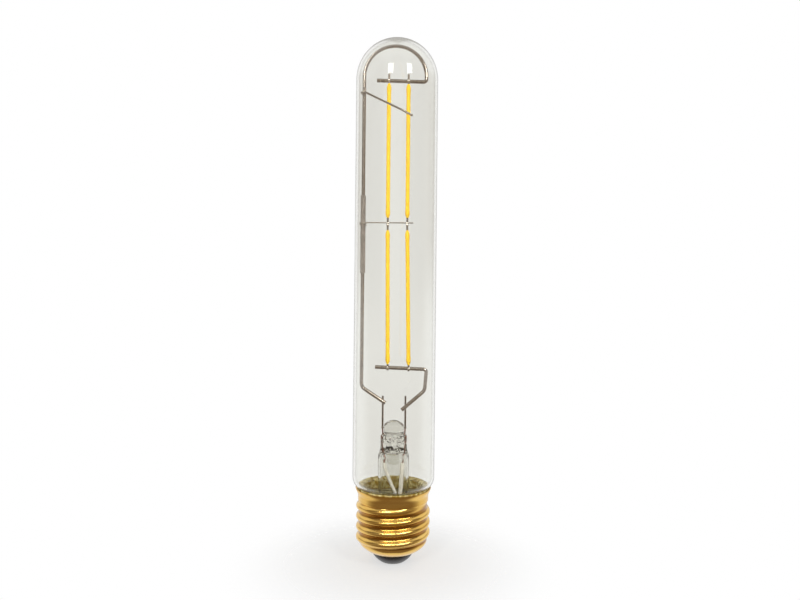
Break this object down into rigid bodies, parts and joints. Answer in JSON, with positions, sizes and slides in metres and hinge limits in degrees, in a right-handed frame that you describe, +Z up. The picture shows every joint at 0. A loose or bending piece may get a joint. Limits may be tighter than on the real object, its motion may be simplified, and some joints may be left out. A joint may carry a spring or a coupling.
{
  "type": "led filament bulb",
  "caption": "Long clear tubular bulb with a domed end, upright LED filaments on a bent wire frame and glass stem, and a brass screw cap.",
  "frame": {"origin": "middle of the centre contact's lower face", "axes": "+Z up the bulb's axis from the cap to the dome, -Y towards the side that the picture shows"},
  "size_m": [0.029, 0.029, 0.185],
  "materials": {
    "clear_glass": "clear gloss",
    "nickel_wire": "drawn, satin to bright",
    "nickel_tab": "rolled strip",
    "copper_wire": "drawn wire, dull",
    "white_sleeving": "braided glass fibre",
    "rod_sleeving": "matte tube",
    "phosphor": "phosphor in silicone, satin",
    "brass_cap": "bright pressed sheet",
    "black_insulator": "moulded, satin",
    "contact_metal": "pressed disc",
    "basing_cement": "crumbly resin cement",
    "board_laminate": "coated laminate",
    "capacitor_can": "plain can",
    "black_moulding": "moulded",
    "resistor_body": "lacquered body"
  },
  "bodies": {
    "root": {"glass_envelope": "clear_glass", "glass_stem": "clear_glass", "inner_lead_left": "nickel_wire", "inner_lead_right": "nickel_wire", "frame_wire_long": "nickel_wire", "frame_wire_short": "nickel_wire", "mid_support_wire": "nickel_wire", "steady_wire": "nickel_wire", "tab_upper_left_top": "nickel_tab", "tab_upper_right_top": "nickel_tab", "tab_upper_left_mid": "nickel_tab", "tab_upper_right_mid": "nickel_tab", "tab_lower_left_mid": "nickel_tab", "tab_lower_right_mid": "nickel_tab", "tab_lower_left_foot": "nickel_tab", "tab_lower_right_foot": "nickel_tab", "dumet_seal_left": "copper_wire", "dumet_seal_right": "copper_wire", "outer_lead_left": "copper_wire", "outer_lead_right": "copper_wire", "neutral_wire": "copper_wire", "lead_sleeve_left": "white_sleeving", "lead_sleeve_right": "white_sleeving", "rod_sleeve": "rod_sleeving", "filament_upper_left": "phosphor", "filament_upper_right": "phosphor", "filament_lower_left": "phosphor", "filament_lower_right": "phosphor", "cap_shell": "brass_cap", "cap_insulator": "black_insulator", "centre_contact": "contact_metal", "cement_ring": "basing_cement", "driver_board": "board_laminate", "smoothing_capacitor": "capacitor_can", "bridge_rectifier": "black_moulding", "driver_chip": "black_moulding", "fusible_resistor": "resistor_body"}
  },
  "joints": []
}
